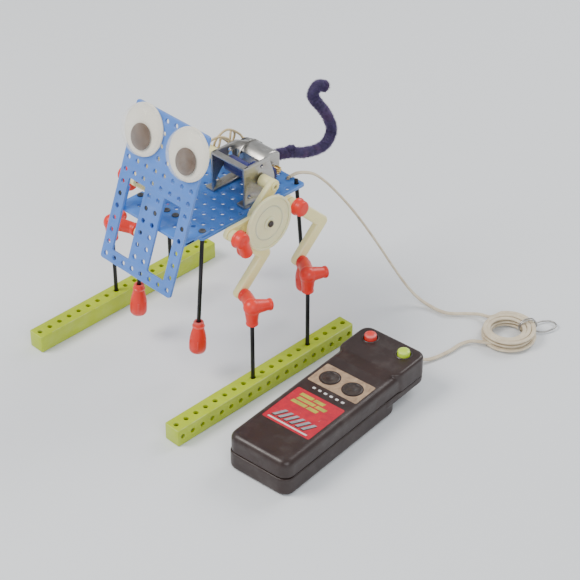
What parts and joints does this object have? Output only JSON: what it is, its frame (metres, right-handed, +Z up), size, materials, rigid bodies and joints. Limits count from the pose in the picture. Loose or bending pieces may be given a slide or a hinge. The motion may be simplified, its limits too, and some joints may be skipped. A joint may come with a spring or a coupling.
{
  "type": "walking robot kit",
  "caption": "Four-legged motor-driven walking robot of perforated plates on two ski rails, with crank-driven legs, googly eyes, plush tail and a wired hand control on a coiled cord.",
  "frame": {"origin": "on the table surface, below the middle of the bounding box of the robot and its hand control, with the cord left out", "axes": "+Z up, -Y is the way the robot faces, +X towards the robot's left, where the hand control lies"},
  "size_m": [0.2309, 0.2578, 0.1735],
  "materials": {
    "head_blue": "satin injection-moulded ABS, periwinkle blue",
    "body_blue": "satin injection-moulded ABS, mid blue",
    "lime": "satin injection-moulded ABS, yellow green",
    "cream": "satin cream-white plastic",
    "milky": "translucent milky plastic",
    "red": "satin vermilion plastic",
    "black_rod": "blackened plain rod",
    "steel": "bright nickel-plated steel",
    "gear_blue": "dark blue moulded gear plastic",
    "plush": "dark violet chenille pile on a wire core",
    "eye_white": "white plastic backing",
    "eye_clear": "clear thin plastic blister",
    "pupil": "dark brown-black loose disc",
    "brown": "dark brown-black satin plastic",
    "green": "yellow-green satin plastic",
    "cord": "off-white PVC flat two-core cord"
  },
  "bodies": {
    "frame": {"body_plate": "body_blue", "neck_bracket": "body_blue", "head_plate": "head_blue", "eye_back_left": "eye_white", "eye_dome_left": "eye_clear", "eye_back_right": "eye_white", "eye_dome_right": "eye_clear", "tail": "plush", "gearbox_side_left": "steel", "gearbox_side_right": "steel", "gearbox_strap": "steel", "motor": "steel", "post_front_left": "black_rod", "tip_front_left": "red", "post_front_right": "black_rod", "tip_front_right": "red", "post_rear_left": "black_rod", "tip_rear_left": "red", "post_rear_right": "black_rod", "tip_rear_right": "red", "remote_top": "brown", "remote_bottom": "brown", "battery_cover": "brown", "batteries": "steel", "cord_to_coil": "cord", "cord_coil": "cord", "cord_to_remote": "cord", "twist_tie": "steel"},
    "crank": {"crank_axle": "steel", "drive_gear": "gear_blue", "crank_arm_left": "cream", "crank_arm_right": "cream", "crank_disc_left": "milky", "crank_disc_right": "milky"},
    "layshaft": {"lay_gear": "gear_blue"},
    "motor_shaft": {"motor_pinion": "steel"},
    "ski_left": {"hip_bar_left": "cream", "hip_connector_front_left": "red", "leg_front_left": "cream", "foot_connector_front_left": "red", "ski_rod_front_left": "black_rod", "hip_connector_rear_left": "red", "leg_rear_left": "cream", "foot_connector_rear_left": "red", "ski_rod_rear_left": "black_rod", "rail_left": "lime"},
    "ski_right": {"hip_bar_right": "cream", "hip_connector_front_right": "red", "leg_front_right": "cream", "foot_connector_front_right": "red", "ski_rod_front_right": "black_rod", "hip_connector_rear_right": "red", "leg_rear_right": "cream", "foot_connector_rear_right": "red", "ski_rod_rear_right": "black_rod", "rail_right": "lime"},
    "pupil_left": {"pupil_left": "pupil"},
    "pupil_right": {"pupil_right": "pupil"},
    "button_red": {"button_red": "red"},
    "button_green": {"button_green": "green"}
  },
  "joints": [
    {"name": "crank_spin", "type": "hinge", "parent": "frame", "child": "crank", "pos_m": [-0.03856, 0.00928, 0.1203], "axis": [1, 0, 0], "continuous": true},
    {"name": "lay_spin", "type": "hinge", "parent": "frame", "child": "layshaft", "pos_m": [-0.01656, 0.01786, 0.11515], "axis": [1, 0, 0], "continuous": true},
    {"name": "motor_spin", "type": "hinge", "parent": "frame", "child": "motor_shaft", "pos_m": [-0.01656, 0.02767, 0.11706], "axis": [1, 0, 0], "continuous": true},
    {"name": "ski_left_pivot", "type": "hinge", "parent": "crank", "child": "ski_left", "pos_m": [0.00844, -0.00652, 0.1065], "axis": [1, 0, 0], "continuous": true},
    {"name": "ski_right_pivot", "type": "hinge", "parent": "crank", "child": "ski_right", "pos_m": [-0.08556, -0.00652, 0.1065], "axis": [1, 0, 0], "continuous": true},
    {"name": "pupil_left_swing", "type": "hinge", "parent": "frame", "child": "pupil_left", "pos_m": [-0.01856, -0.04288, 0.15752], "axis": [0, -0.9354, 0.3535], "continuous": true},
    {"name": "pupil_right_swing", "type": "hinge", "parent": "frame", "child": "pupil_right", "pos_m": [-0.05856, -0.04288, 0.15752], "axis": [0, -0.9354, 0.3535], "continuous": true},
    {"name": "button_red_press", "type": "slide", "parent": "frame", "child": "button_red", "axis": [0, 0, -1], "range_m": [0, 0.0015], "stiffness_N_per_m": 80, "springref_m": -0.0005},
    {"name": "button_green_press", "type": "slide", "parent": "frame", "child": "button_green", "axis": [0, 0, -1], "range_m": [0, 0.0015], "stiffness_N_per_m": 80, "springref_m": -0.0005}
  ],
  "couplings": [
    {"joint": "lay_spin", "follows": "crank_spin", "ratio": -4},
    {"joint": "motor_spin", "follows": "crank_spin", "ratio": 16},
    {"joint": "ski_left_pivot", "follows": "crank_spin", "ratio": -1},
    {"joint": "ski_right_pivot", "follows": "crank_spin", "ratio": -1}
  ]
}
